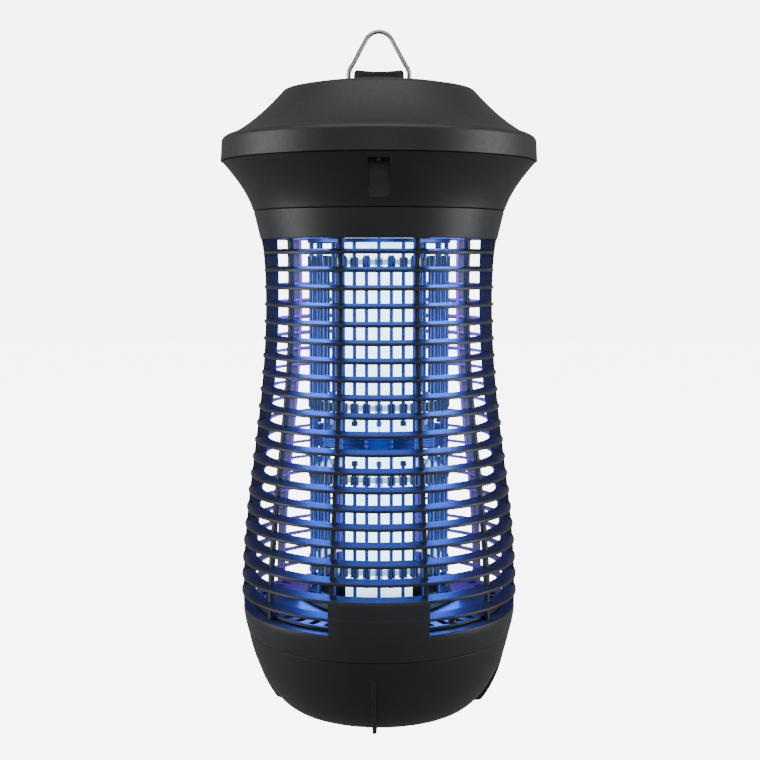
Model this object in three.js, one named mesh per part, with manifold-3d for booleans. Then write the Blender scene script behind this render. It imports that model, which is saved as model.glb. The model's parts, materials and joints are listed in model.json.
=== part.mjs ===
// Hanging electric insect killer: a roofed cage lantern with two UV tubes inside a two-tier live grid,
// and a twist-off collecting tray underneath. Millimetres, +Z up, front towards -Y, origin on the
// central axis at the level of the tray's feet.
import * as THREE from 'three';
import { mergeVertices } from 'three/addons/utils/BufferGeometryUtils.js';
import Module from 'manifold-3d';

const wasm = await Module();
wasm.setup();

// ---- Driving dimensions ---------------------------------------------------------------------

const DEG = Math.PI / 180;
const GAP = 0.3; // clearance between pieces that rest on each other

const ROOF = {
  radius: 121, rim: 423.3, skirtTop: 438.1, slopeTop: 477.1, topRadius: 72.6, crown: 481.8, wall: 3,
};
const SADDLE = { halfWidth: 19.3, halfDepth: 10.5, top: 492, dip: 1.1, corner: 2.7, socketDepth: 7.2 };
const BAIL = { wire: 1.7, pivotZ: 484.4, legX: 23.2, crownRadius: 11, crownZ: 522, elbow: 3.2 };
const HOUSING = {
  seat: 386.2, neck: 96.6, top: 422.9, lip: 119.9, wall: 2.8, wellRadius: 79.6, wellFloor: 376.1,
};
const CHANNEL = { halfWidth: 7.6, backRadius: 99, ceiling: 418.7, liner: 2.6, screwRadius: 108.5 };
const GUARD = { waistRadius: 88.4, waistZ: 329.7, bellyRadius: 108, bellyZ: 88.4, skew: 1.105 };
const RING = { count: 21, topZ: 354.2, pitch: 13.115, width: 10.5, thickness: 2.3 };
const RIB_THICKNESS = 3.6;
const FRONT_RIB = { inset: 6.7, depth: 4, rise: 0 }; // rise: how far it swings out to the collar
const REAR_RIB = { inset: 4.3, depth: 6.6, rise: 0 };
const SIDE_RIB = { inset: 0.9, depth: 9.8, rise: 2.8 };
const FRONT_BAY = 19.8 * DEG; // half of the bay that holds the front panel
const MIDDLE_RIB = 54.4 * DEG;
const PARTING = 0.3; // gap between the cage's front and rear mouldings
const COLLAR = { bottom: 364.5, bottomRadius: 91.2, topRadius: 96.3, innerRadius: 78.5, wall: 2.8 };
const BAND = {
  bottom: 60.8, bottomRadius: 103.2, shelfZ: 78.3, top: 80.8, topRadius: 106.6, shelfRadius: 95.2, wall: 2.6,
};
const TRAY = {
  seam: 60.5, rimRadius: 103, floor: 0.4, floorRadius: 65, wall: 2.6, spigotRadius: 96.6, spigotTop: 68,
};
const FIN = { count: 4, thickness: 3, footInner: 66, footOuter: 76, turn: -2.3 * DEG };
const LUG = {
  count: 3, halfAngle: 5 * DEG, slotHalfAngle: 7.5 * DEG, ledgeZ: 63.5, ledgeHeight: 1.6, height: 2,
};
const GRATE = {
  bottom: 81.1, thickness: 2.4, radius: 96.5, holeRadius: 42.5,
  slots: 45, slotWidth: 6, slotNear: 84.5, slotFar: 94.5, // each screw falls midway between two slots
};
const TUBE = { radius: 13, glassWall: 0.8, spacing: 27, bottom: 63.3, length: 331.5, capLength: 12 };
const PIN = { radius: 1.18, length: 7, spacing: 12.7 };
const GRID = {
  radius: 53, wire: 1.45, pairs: 18, topZ: 363.3, bottomZ: 92.2, bandBottom: 207.3, bandTop: 217.6,
};
const SPACER_HEIGHTS = [347.3, 238.8, 184.3, 113.9];

const RING_SIDES = 20; // with half a side's turn, every rib meets the rings in the middle of a facet
const RING_TURN = Math.PI / RING_SIDES;
const SHELL_SIDES = 24;
const ROUND_SIDES = 12;
const SMALL_SIDES = 6;

// ---- Materials ------------------------------------------------------------------------------

const material = (color, roughness, metalness = 0) =>
  new THREE.MeshStandardMaterial({ color, roughness, metalness });
const blackPlastic = () => material(0x26272a, 0.55);
const whitePlastic = () => material(0xd9dcdf, 0.5);
const steel = () => material(0xb4b6b8, 0.3, 1);
const zinc = () => material(0x9a9ca0, 0.4, 1);
const brass = () => material(0xb79a55, 0.35, 1);
const rubber = () => material(0x151515, 0.9);
const aluminium = () => material(0xc4c7ca, 0.4, 1);
const phosphorGlass = () => material(0xdff3ff, 0.2);
const circuitBoard = () => material(0x2f5a3a, 0.6);
const coilTape = () => material(0xc8a23a, 0.6);
const filmCase = () => material(0x8f2f2a, 0.5);

// ---- Geometry helpers -----------------------------------------------------------------------

/** The point at a radius and a bearing, measured from the front (-Y) towards +X. */
const bearing = (radius, angle) => [radius * Math.sin(angle), -radius * Math.cos(angle)];

/** Turns a closed [radius, height] outline, listed anticlockwise, about the Z axis. */
function turned(outline, sides, startAngle = 0) {
  const points = outline.map(([radius, height]) => new THREE.Vector2(radius, height));
  const onAxis = points[0].x === 0 && points.at(-1).x === 0;
  if (!onAxis) points.push(points[0].clone());
  return new THREE.LatheGeometry(points, sides, startAngle).rotateX(Math.PI / 2);
}

function box(x0, x1, y0, y1, z0, z1) {
  const geometry = new THREE.BoxGeometry(x1 - x0, y1 - y0, z1 - z0);
  return geometry.translate((x0 + x1) / 2, (y0 + y1) / 2, (z0 + z1) / 2);
}

/** An upright rod or hole standing at [x, y]. */
function post(radius, z0, z1, [x, y] = [0, 0], sides = SMALL_SIDES) {
  const geometry = new THREE.CylinderGeometry(radius, radius, z1 - z0, sides).rotateX(Math.PI / 2);
  return geometry.translate(x, y, (z0 + z1) / 2);
}

/** An outline in the [x, z] plane, extruded along Y and centred on y. */
function slab(shape, depth, y = 0) {
  const geometry = new THREE.ExtrudeGeometry(shape, { depth, bevelEnabled: false, curveSegments: 6 });
  return geometry.translate(0, 0, -depth / 2 - y).rotateX(Math.PI / 2);
}

/** An outline in the [x, y] plane, extruded upwards from z0 to z1. */
function plate(shape, z0, z1) {
  const settings = { depth: z1 - z0, bevelEnabled: false, curveSegments: ROUND_SIDES };
  return new THREE.ExtrudeGeometry(shape, settings).translate(0, 0, z0);
}

/** A [radius, height] outline made into a radial plate at a bearing. */
function radialPlate(outline, thickness, angle) {
  return slab(polygon(outline), thickness).rotateZ(angle - Math.PI / 2);
}

const polygon = (points) => new THREE.Shape(points.map(([x, y]) => new THREE.Vector2(x, y)));

/** Points along a quadratic curve from start to end that bends towards the corner point. */
function bend(start, corner, end, steps) {
  const controls = [start, corner, end].map(([x, y]) => new THREE.Vector2(x, y));
  return new THREE.QuadraticBezierCurve(...controls).getPoints(steps).map((point) => [point.x, point.y]);
}

function toSolid(geometry) {
  const bare = geometry.clone();
  bare.deleteAttribute('normal');
  bare.deleteAttribute('uv');
  const welded = mergeVertices(bare, 1e-3);
  const corners = welded.index.array;
  const kept = [];
  for (let i = 0; i < corners.length; i += 3) {
    const [a, b, c] = [corners[i], corners[i + 1], corners[i + 2]];
    if (a !== b && b !== c && c !== a) kept.push(a, b, c);
  }
  const vertProperties = new Float32Array(welded.attributes.position.array);
  return new wasm.Manifold(new wasm.Mesh({ numProp: 3, vertProperties, triVerts: new Uint32Array(kept) }));
}

function toGeometry(solid) {
  const { vertProperties, triVerts } = solid.getMesh();
  const geometry = new THREE.BufferGeometry();
  geometry.setAttribute('position', new THREE.BufferAttribute(vertProperties, 3));
  geometry.setIndex(new THREE.BufferAttribute(triVerts, 1));
  geometry.computeVertexNormals();
  return geometry;
}

const join = (first, ...others) => others.reduce((sum, next) => sum.add(next), first);
const cut = (first, ...others) => others.reduce((rest, next) => rest.subtract(next), first);
const solids = (geometries) => geometries.map(toSolid);
const evenly = (count, start = 0) =>
  Array.from({ length: count }, (_, i) => start + (i * 2 * Math.PI) / count);

// ---- The object -----------------------------------------------------------------------------

const zapper = new THREE.Group();
zapper.name = 'bug_zapper';

function add(name, shape, surface) {
  const geometry = shape.isBufferGeometry ? shape : toGeometry(shape);
  const mesh = new THREE.Mesh(geometry, surface);
  mesh.name = name;
  zapper.add(mesh);
  return mesh;
}

/** A pan-head screw standing on its head, its shank pointing up or down (direction +1 or -1). */
function screw(name, [x, y], seatZ, length, direction) {
  const outline = [[0, -2.6], [2.2, -2.6], [3.2, -1.6], [3.2, 0], [1.5, 0], [1.5, length], [0, length]];
  const mesh = add(name, turned(outline, SMALL_SIDES), zinc());
  mesh.position.set(x, y, seatZ);
  if (direction < 0) mesh.rotation.x = Math.PI;
}

// ---- Roof -----------------------------------------------------------------------------------

function roofOutline(inset) {
  const rim = ROOF.radius - inset;
  const wallTop = [rim - 0.8, ROOF.skirtTop - inset * 0.4];
  const shoulder = [ROOF.radius - 9.4 - inset * 0.3, ROOF.skirtTop + 5.8 - inset];
  const hollow = [93.3 - inset * 0.6, 453.5 - inset];
  const brow = [ROOF.topRadius - inset * 0.7, ROOF.slopeTop - inset * 0.9];
  return [
    [rim, ROOF.rim],
    ...bend(wallTop, [wallTop[0] - 0.4, shoulder[1] - 2], shoulder, 3),
    ...bend(shoulder, hollow, brow, 5).slice(1),
    [ROOF.topRadius * 0.8, ROOF.crown - 1.9 - inset],
    [0, ROOF.crown - inset],
  ];
}

function saddleShape() {
  const { halfWidth, top, dip, corner } = SADDLE;
  const shape = new THREE.Shape();
  shape.moveTo(-halfWidth, ROOF.crown - 2.3);
  shape.lineTo(halfWidth, ROOF.crown - 2.3);
  shape.lineTo(halfWidth - 0.4, top - corner);
  shape.quadraticCurveTo(halfWidth - 0.5, top, halfWidth - corner, top);
  shape.quadraticCurveTo(0, top - 2 * dip, corner - halfWidth, top);
  shape.quadraticCurveTo(0.5 - halfWidth, top, 0.4 - halfWidth, top - corner);
  return shape;
}

function buildRoof() {
  const shell = toSolid(turned([...roofOutline(ROOF.wall).reverse(), ...roofOutline(0)], SHELL_SIDES));
  const filled = toSolid(turned([[0, ROOF.rim], ...roofOutline(1)], SHELL_SIDES));
  const screwPosts = evenly(LUG.count).map((angle) => {
    const place = bearing(CHANNEL.screwRadius, angle);
    const boss = toSolid(post(4.2, ROOF.rim + GAP, ROOF.slopeTop, place, ROUND_SIDES)).intersect(filled);
    return boss.subtract(toSolid(post(1.8, ROOF.rim, ROOF.rim + 13, place)));
  });
  const saddle = toSolid(slab(saddleShape(), 2 * SADDLE.halfDepth));
  const sockets = [-1, 1].map((side) => {
    const socketEnd = SADDLE.halfWidth - SADDLE.socketDepth;
    const hole = post(BAIL.wire + 0.4, socketEnd, SADDLE.halfWidth + 1, [0, 0], ROUND_SIDES);
    return toSolid(hole.rotateY((side * Math.PI) / 2).translate(0, 0, BAIL.pivotZ));
  });
  add('roof_cap', cut(join(shell, saddle, ...screwPosts), ...sockets), blackPlastic());
}

function bailPath() {
  const { pivotZ, legX, crownRadius, crownZ, elbow } = BAIL;
  const centreZ = crownZ - crownRadius;
  const foot = [legX - 1.6, pivotZ + 10];
  const reach = Math.hypot(foot[0], foot[1] - centreZ);
  const lean = Math.atan2(foot[1] - centreZ, foot[0]) + Math.acos(crownRadius / reach);
  const shoulder = [crownRadius * Math.cos(lean), centreZ + crownRadius * Math.sin(lean)];
  const leg = [0.33, 0.66].map((t) => [0, 1].map((k) => foot[k] + (shoulder[k] - foot[k]) * t));
  const pinEnd = SADDLE.halfWidth - SADDLE.socketDepth + 1;
  const half = [
    [pinEnd, pivotZ],
    [legX - elbow, pivotZ],
    [legX - elbow * 0.3, pivotZ + elbow * 0.3],
    [legX, pivotZ + elbow],
    foot,
    ...leg,
  ];
  for (let step = 0; step <= 3; step += 1) {
    const angle = lean + ((Math.PI / 2 - lean) * step) / 3;
    half.push([crownRadius * Math.cos(angle), centreZ + crownRadius * Math.sin(angle)]);
  }
  const mirrored = half.slice(0, -1).reverse().map(([x, z]) => [-x, z]);
  return new THREE.CatmullRomCurve3([...half, ...mirrored].map(([x, z]) => new THREE.Vector3(x, 0, z)));
}

function buildBail() {
  const section = polygon(evenly(8).map((angle) => bearing(BAIL.wire, angle)));
  const settings = { steps: 44, bevelEnabled: false, extrudePath: bailPath() };
  add('hanging_bail', new THREE.ExtrudeGeometry(section, settings), steel());
}

// ---- Upper housing --------------------------------------------------------------------------

const flare = (inset) =>
  bend(
    [HOUSING.neck - inset, HOUSING.seat + (inset ? HOUSING.wall : 0)],
    [HOUSING.neck + 4.5 - inset, HOUSING.seat + 15.7 + inset * 0.4],
    [HOUSING.lip - inset * 1.3, HOUSING.top],
    5,
  );

/** The slot in the flare that a screwdriver reaches the roof screws through. */
function screwChannel(angle) {
  const { halfWidth, backRadius, ceiling } = CHANNEL;
  const slot = box(backRadius, ROOF.radius + 5, -halfWidth, halfWidth, HOUSING.seat, ceiling);
  return toSolid(slot.rotateZ(angle - Math.PI / 2));
}

function channelLiner(angle) {
  const side = CHANNEL.halfWidth + CHANNEL.liner;
  const block = box(HOUSING.neck - HOUSING.wall, ROOF.radius, -side, side, HOUSING.seat + 1, HOUSING.top);
  return toSolid(block.rotateZ(angle - Math.PI / 2));
}

const GLAND = { z: 400.4, face: 108.5, boreRadius: 6.3, padRadius: 11 };

/** A rod or hole along +Y on the cord gland's axis. */
const glandRod = (radius, y0, y1, sides = ROUND_SIDES) =>
  post(radius, y0, y1, [0, 0], sides).rotateX(-Math.PI / 2).translate(0, 0, GLAND.z);

const GUARD_SCREW_ANGLES = evenly(4, 45 * DEG);
const GUARD_SCREW_RADIUS = 86.5;
const BOARD = { x: 40, yNear: 26, yFar: 62, z: HOUSING.wellFloor + 9.5, thickness: 1.6 };
const BOARD_POSTS = [[-36, 30], [36, 30], [-36, 58], [36, 58]];

function buildHousing() {
  const { seat, top, wellRadius, wellFloor, wall, neck } = HOUSING;
  const outer = [[0, wellFloor], [wellRadius, wellFloor], [wellRadius, seat], ...flare(0)];
  const inner = [...flare(wall), [neck - wall, seat + wall]].slice(0, -1).reverse();
  const wellInside = wellRadius - wall;
  const well = [[wellInside, seat + wall], [wellInside, wellFloor + wall], [0, wellFloor + wall]];
  const shell = toSolid(turned([...outer, ...inner, ...well], SHELL_SIDES));
  const filled = toSolid(turned([...outer, [0, top]], SHELL_SIDES));
  const corners = evenly(LUG.count);
  const liners = corners.map((angle) => channelLiner(angle).intersect(filled));
  const guardBosses = GUARD_SCREW_ANGLES.map((angle) =>
    toSolid(post(4.2, seat, seat + 11, bearing(GUARD_SCREW_RADIUS, angle), ROUND_SIDES)));
  const boardPosts = solids(BOARD_POSTS.map((place) => post(3, wellFloor, BOARD.z - GAP, place)));
  const glandPad = toSolid(glandRod(GLAND.padRadius, 92, GLAND.face));
  const body = join(shell, glandPad, ...liners, ...guardBosses, ...boardPosts);
  const holes = [
    ...corners.map(screwChannel),
    ...corners.map((angle) => toSolid(post(1.9, seat, top + 1, bearing(CHANNEL.screwRadius, angle)))),
    ...GUARD_SCREW_ANGLES.map((angle) =>
      toSolid(post(1.8, seat - 1, seat + 10, bearing(GUARD_SCREW_RADIUS, angle)))),
    ...solids([-1, 1].map((side) =>
      post(TUBE.radius + 0.9, wellFloor - 1, wellFloor + wall + 1, [(side * TUBE.spacing) / 2, 0], 24))),
    toSolid(glandRod(GLAND.boreRadius, 88, GLAND.face + 1)),
  ];
  add('upper_housing', cut(body, ...holes), blackPlastic());

  corners.forEach((angle, i) =>
    screw(`roof_screw_${i + 1}`, bearing(CHANNEL.screwRadius, angle), CHANNEL.ceiling - GAP, 15, 1));
}

function buildGland() {
  const { boreRadius, face } = GLAND;
  const cableHole = toSolid(glandRod(3.6, 80, 125));
  const stem = toSolid(glandRod(boreRadius - 0.4, 86, face + 1));
  const flange = toSolid(glandRod(9, face + GAP, face + 4, 6));
  const cap = toSolid(glandRod(7.6, face + 3.5, face + 10.5));
  add('cord_gland', cut(join(stem, flange, cap), cableHole), blackPlastic());
  const nut = cut(toSolid(glandRod(9.5, 87.5, 91.7, 6)), toSolid(glandRod(boreRadius, 80, 100)));
  add('gland_locknut', nut, blackPlastic());
}

// ---- Electronics in the housing -------------------------------------------------------------

function buildElectronics() {
  const { x, yNear, yFar, z, thickness } = BOARD;
  const top = z + thickness + GAP;
  const board = cut(
    toSolid(box(-x, x, yNear, yFar, z, z + thickness)),
    ...solids(BOARD_POSTS.map((place) => post(1.7, z - 1, z + 3, place))),
  );
  add('ballast_board', board, circuitBoard());

  const core = toSolid(box(-14, 14, 30, 54, top, top + 22));
  const windows = solids([[-10.5, -4], [4, 10.5]].map(([x0, x1]) => box(x0, x1, 20, 64, top + 5, top + 17)));
  add('transformer_core', cut(core, ...windows), zinc());
  [-1, 1].forEach((side, i) => {
    const coil = box(-2.9, 2.9, 32, 52, top + 5 + GAP, top + 17 - GAP).translate(side * 7.25, 0, 0);
    add(`transformer_coil_${i + 1}`, coil, coilTape());
  });
  [-29, -20, 20].forEach((xMid, i) =>
    add(`film_capacitor_${i + 1}`, box(xMid - 3.5, xMid + 3.5, 35, 53, top, top + 13), filmCase()));
  add('electrolytic_capacitor', post(5.5, top, top + 20, [31, 44], ROUND_SIDES), blackPlastic());

  const floorTop = HOUSING.wellFloor + HOUSING.wall + GAP;
  const block = toSolid(box(-18, 18, -58, -44, floorTop, floorTop + 14));
  const entries = solids([-12, 0, 12].map((xMid) =>
    box(xMid - 3, xMid + 3, -59, -50, floorTop + 4, floorTop + 10)));
  add('terminal_block', cut(block, ...entries), whitePlastic());
}

// ---- Guard ----------------------------------------------------------------------------------

/** Outer radius of the cage's rings: a waist under the collar swelling to a belly near the base. */
function guardRadius(z) {
  const { waistRadius, waistZ, bellyRadius, bellyZ, skew } = GUARD;
  const fall = Math.abs((waistZ - z) / (waistZ - bellyZ)) ** skew;
  const middle = (bellyRadius + waistRadius) / 2;
  return middle - ((bellyRadius - waistRadius) / 2) * Math.cos(Math.PI * fall);
}

const bladeOutline = (radius, z) => [
  [radius - RING.width, z - RING.thickness / 2],
  [radius, z - RING.thickness / 2],
  [radius, z + RING.thickness / 2],
  [radius - RING.width, z + RING.thickness / 2],
];

/** A rib follows the rings' outer edge; its rise brings it out to the collar at the top. */
function ribOutline({ inset, depth, rise }) {
  const outer = [];
  const inner = [];
  const steps = rise ? 8 : 6;
  for (let i = 0; i <= steps; i += 1) {
    const t = i / steps;
    const z = BAND.shelfZ + (COLLAR.bottom + 1.5 - BAND.shelfZ) * t;
    const radius = guardRadius(z) - inset;
    outer.push([radius + rise * t ** 16, z]);
    inner.push([radius - depth, z]);
  }
  return [...outer, ...inner.reverse()];
}

function collarOutline() {
  const { bottom, bottomRadius, topRadius, innerRadius, wall } = COLLAR;
  const top = HOUSING.seat - GAP;
  const flangeRadius = HOUSING.wellRadius + 1;
  return [
    [innerRadius, bottom], [bottomRadius, bottom], [topRadius, top], [flangeRadius, top],
    [flangeRadius, top - 3], [topRadius - wall - 0.6, top - 3],
    [bottomRadius - wall + 0.6, bottom + wall], [innerRadius, bottom + wall],
  ];
}

function bandOutline() {
  const { bottom, bottomRadius, shelfZ, top, topRadius, shelfRadius, wall } = BAND;
  const widest = [topRadius, top - 3.3];
  const outer = bend([bottomRadius, bottom], [topRadius - 1.2, bottom + 7.2], widest, 3);
  return [
    ...outer, [topRadius - 0.4, top], [shelfRadius, top], [shelfRadius, shelfZ],
    [topRadius - wall, shelfZ], [bottomRadius - wall, bottom],
  ];
}

/** A solid piece of ring between two radii, centred on a bearing. */
function ringSector(innerRadius, outerRadius, halfAngle, z0, z1, angle, segments = 4) {
  const shape = new THREE.Shape();
  shape.absarc(0, 0, outerRadius, angle - Math.PI / 2 - halfAngle, angle - Math.PI / 2 + halfAngle, false);
  shape.absarc(0, 0, innerRadius, angle - Math.PI / 2 + halfAngle, angle - Math.PI / 2 - halfAngle, true);
  const settings = { depth: z1 - z0, bevelEnabled: false, curveSegments: segments };
  return toSolid(new THREE.ExtrudeGeometry(shape, settings).translate(0, 0, z0));
}

const GRATE_SCREWS = evenly(3, 36 * DEG);
const GRATE_SCREW_RADIUS = 92;

/** The bayonet ledge inside the band, with a gap above each of the tray's lugs. */
function bayonetLedge() {
  const { count, slotHalfAngle, ledgeZ, ledgeHeight } = LUG;
  const halfAngle = Math.PI / count - slotHalfAngle;
  const [inner, outer] = [TRAY.spigotRadius + 1.3, BAND.bottomRadius - 0.9];
  return evenly(count, Math.PI / count + FIN.turn).map((angle) =>
    ringSector(inner, outer, halfAngle, ledgeZ, ledgeZ + ledgeHeight, angle, 8));
}

function buildGuard() {
  const rings = Array.from({ length: RING.count }, (_, i) => {
    const z = RING.topZ - i * RING.pitch;
    return toSolid(turned(bladeOutline(guardRadius(z), z), RING_SIDES, RING_TURN));
  });
  const ribAngles = [
    [FRONT_RIB, FRONT_BAY], [FRONT_RIB, MIDDLE_RIB], [SIDE_RIB, Math.PI / 2],
    [REAR_RIB, Math.PI - MIDDLE_RIB], [REAR_RIB, Math.PI - FRONT_BAY],
  ];
  const ribs = ribAngles.flatMap(([rib, angle]) =>
    [angle, -angle].map((turn) => toSolid(radialPlate(ribOutline(rib), RIB_THICKNESS, turn))));
  const panelTop = RING.topZ - (RING.count - 2) * RING.pitch;
  const panelRadius = GUARD.bellyRadius + 0.1;
  const panel = ringSector(panelRadius - BAND.wall, panelRadius, FRONT_BAY, BAND.shelfZ, panelTop, 0);
  const bosses = GRATE_SCREWS.map((angle) =>
    toSolid(post(4.6, BAND.shelfZ - 9, BAND.top, bearing(GRATE_SCREW_RADIUS, angle))));
  const holes = [
    ...GRATE_SCREWS.map((angle) =>
      toSolid(post(1.8, BAND.shelfZ - 8, BAND.top + 1, bearing(GRATE_SCREW_RADIUS, angle)))),
    ...GUARD_SCREW_ANGLES.map((angle) =>
      toSolid(post(1.9, HOUSING.seat - 8, HOUSING.seat, bearing(GUARD_SCREW_RADIUS, angle)))),
  ];
  const collar = toSolid(turned(collarOutline(), SHELL_SIDES));
  const band = toSolid(turned(bandOutline(), SHELL_SIDES));
  const body = join(collar, band, panel, ...bayonetLedge(), ...bosses, ...rings, ...ribs);
  const whole = cut(body, ...holes);
  const reach = GUARD.bellyRadius + 5;
  const halfSpace = (y0, y1) => toSolid(box(-reach, reach, y0, y1, 0, HOUSING.seat));
  add('cage_front', whole.intersect(halfSpace(-reach, -PARTING / 2)), blackPlastic());
  add('cage_rear', whole.intersect(halfSpace(PARTING / 2, reach)), blackPlastic());
  GUARD_SCREW_ANGLES.forEach((angle, i) =>
    screw(`guard_screw_${i + 1}`, bearing(GUARD_SCREW_RADIUS, angle), HOUSING.seat - 3.6 - GAP, 12, 1));
}

// ---- Base: drop grate and lower lamp cup ----------------------------------------------------

const CUP = { floor: 46.3, wall: 2.5, rimRadius: 46.3, cheekInner: 21, cheekOuter: 33.5, cheekTop: 101.6 };

function buildGrate() {
  const { bottom, thickness, radius, holeRadius, slots, slotWidth, slotNear, slotFar } = GRATE;
  const shape = new THREE.Shape().absarc(0, 0, radius, 0, 2 * Math.PI);
  const hole = new THREE.Path().absarc(0, 0, holeRadius, 0, 2 * Math.PI, true);
  const disc = new THREE.Shape(shape.getPoints(SHELL_SIDES / 2));
  disc.holes.push(new THREE.Path(hole.getPoints(SMALL_SIDES + 2)));
  evenly(slots).forEach((angle) => {
    const half = slotWidth / 2;
    const corners = [[slotNear, -half], [slotNear, half], [slotFar, half], [slotFar, -half]];
    const turn = angle - Math.PI / 2;
    disc.holes.push(new THREE.Path(corners.map(([along, across]) => new THREE.Vector2(
      along * Math.cos(turn) - across * Math.sin(turn),
      along * Math.sin(turn) + across * Math.cos(turn),
    ))));
  });
  const floor = toSolid(plate(disc, bottom, bottom + thickness));
  const holes = GRATE_SCREWS.map((angle) =>
    toSolid(post(1.9, bottom - 1, bottom + 4, bearing(GRATE_SCREW_RADIUS, angle))));
  add('drop_grate', cut(floor, ...holes), blackPlastic());
  GRATE_SCREWS.forEach((angle, i) =>
    screw(`grate_screw_${i + 1}`, bearing(GRATE_SCREW_RADIUS, angle), bottom + thickness + GAP, 9, -1));
}

function buildLampCup() {
  const { floor, wall, rimRadius, cheekInner, cheekOuter, cheekTop } = CUP;
  const radius = GRATE.holeRadius - 0.8;
  const rim = GRATE.bottom + GRATE.thickness + GAP;
  const outline = [
    [0, floor], [radius, floor], [radius, rim], [rimRadius, rim], [rimRadius, rim + 2],
    [radius - wall, rim + 2], [radius - wall, floor + wall], [0, floor + wall],
  ];
  const cheeks = solids([-1, 1].map((side) => {
    const [x0, x1] = side > 0 ? [cheekInner + 6, cheekOuter] : [-cheekOuter, -cheekInner - 6];
    return box(x0, x1, -16, 16, floor + 1, cheekTop);
  }));
  add('lower_lamp_cup', join(toSolid(turned(outline, 24)), ...cheeks), blackPlastic());
}

// ---- Lamps ----------------------------------------------------------------------------------

function lampHolder(name, x, z, height, direction) {
  const body = toSolid(box(-12.8, 12.8, -12, 12, 0, height));
  const slot = toSolid(box(-8.3, 8.3, -1.7, 1.7, height - 8, height + 1));
  const mesh = add(name, cut(body, slot), whitePlastic());
  mesh.position.set(x, 0, z);
  if (direction < 0) mesh.rotation.x = Math.PI;
}

function lampCap(name, x, z, direction) {
  const { radius, glassWall, capLength } = TUBE;
  const plug = radius - glassWall - 0.4;
  const plugTop = capLength + 3;
  const outline = [[0, 0], [radius, 0], [radius, capLength], [plug, capLength], [plug, plugTop], [0, plugTop]];
  const pins = solids([-1, 1].map((side) =>
    post(PIN.radius, -PIN.length, 1, [(side * PIN.spacing) / 2, 0])));
  const mesh = add(name, join(toSolid(turned(outline, ROUND_SIDES)), ...pins), aluminium());
  mesh.position.set(x, 0, z);
  if (direction < 0) mesh.rotation.x = Math.PI;
}

function buildLamps() {
  const { radius, glassWall, spacing, bottom, length, capLength } = TUBE;
  const top = bottom + length;
  const glass0 = bottom + capLength + GAP;
  const glass1 = top - capLength - GAP;
  const bore = radius - glassWall;
  const glass = [[bore, glass0], [radius, glass0], [radius, glass1], [bore, glass1]];
  ['left', 'right'].forEach((side, i) => {
    const x = (i - 0.5) * spacing;
    const tube = add(`uv_tube_${side}`, turned(glass, ROUND_SIDES), phosphorGlass());
    tube.position.x = x;
    lampCap(`tube_cap_lower_${side}`, x, bottom, 1);
    lampCap(`tube_cap_upper_${side}`, x, top, -1);
    const cupFloor = CUP.floor + CUP.wall + GAP;
    lampHolder(`lamp_holder_lower_${side}`, x, cupFloor, bottom - GAP - cupFloor, 1);
    lampHolder(`lamp_holder_upper_${side}`, x, top + GAP + 14, 14, -1);
  });
}

/** The bridge that carries the two upper lamp holders over the housing's well. */
function buildLampBridge() {
  const foot = HOUSING.wellFloor + HOUSING.wall + GAP;
  const top = TUBE.bottom + TUBE.length + 14 + 2 * GAP;
  const sheet = 2;
  const leg = 34;
  const toe = 46;
  const shape = polygon([
    [-toe, foot], [-leg, foot], [-leg, top], [leg, top], [leg, foot], [toe, foot],
    [toe, foot + sheet], [leg + sheet, foot + sheet], [leg + sheet, top + sheet],
    [-leg - sheet, top + sheet], [-leg - sheet, foot + sheet], [-toe, foot + sheet],
  ]);
  add('lamp_bridge', slab(shape, 24), zinc());
}

// ---- Live grid ------------------------------------------------------------------------------

const hoop = (inner, outer, z0, z1) =>
  turned([[inner, z0], [outer, z0], [outer, z1], [inner, z1]], SHELL_SIDES);

function gridWires(z0, z1, phase) {
  return solids(evenly(GRID.pairs, phase).map((angle) =>
    post(GRID.wire, z0, z1, bearing(GRID.radius, angle), 6)));
}

function buildGrid() {
  const { radius, topZ, bottomZ, bandBottom, bandTop } = GRID;
  const phaseB = Math.PI / GRID.pairs;
  const sparkGap = 8; // between the end electrodes' wires and the middle band
  const endHoop = (z) => toSolid(hoop(radius - 2.2, radius + 2.2, z - 1.5, z + 1.5));
  const upperWires = gridWires(bandTop + sparkGap, topZ, 0);
  const lowerWires = gridWires(bottomZ, bandBottom - sparkGap, 0);
  add('grid_top_electrode', join(endHoop(topZ), ...upperWires), steel());
  add('grid_bottom_electrode', join(endHoop(bottomZ), ...lowerWires), steel());
  const band = toSolid(hoop(radius - 1, radius + 1.6, bandBottom, bandTop));
  add('grid_middle_electrode', join(band, ...gridWires(103.5, 352.3, phaseB)), steel());

  SPACER_HEIGHTS.forEach((z, i) =>
    add(`grid_spacer_${i + 1}`, hoop(46.5, radius - GRID.wire - 0.35, z - 2, z + 2), whitePlastic()));
  const topFace = HOUSING.wellFloor - GAP;
  add('grid_top_insulator', hoop(46.5, 57, topZ + 1.5 + GAP, topFace), whitePlastic());
  const grateTop = GRATE.bottom + GRATE.thickness + GAP;
  add('grid_bottom_insulator', hoop(47, 57, grateTop, bottomZ - 1.5 - GAP), whitePlastic());
}

// ---- Collecting tray ------------------------------------------------------------------------

function bowlOutline(inset) {
  const { seam, rimRadius, floor, floorRadius } = TRAY;
  const points = [
    [floorRadius, floor], [floorRadius + 12, floor], [rimRadius - 6.5, floor + 24.5], [rimRadius, seam],
  ].map(([radius, z]) => new THREE.Vector2(radius, z));
  const steps = 6;
  return new THREE.CubicBezierCurve(...points).getPoints(steps).map((point, i) => {
    const steepness = ((Math.PI / 2) * i) / steps;
    return [point.x - inset * Math.sin(steepness), point.y + inset * Math.cos(steepness)];
  });
}

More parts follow.
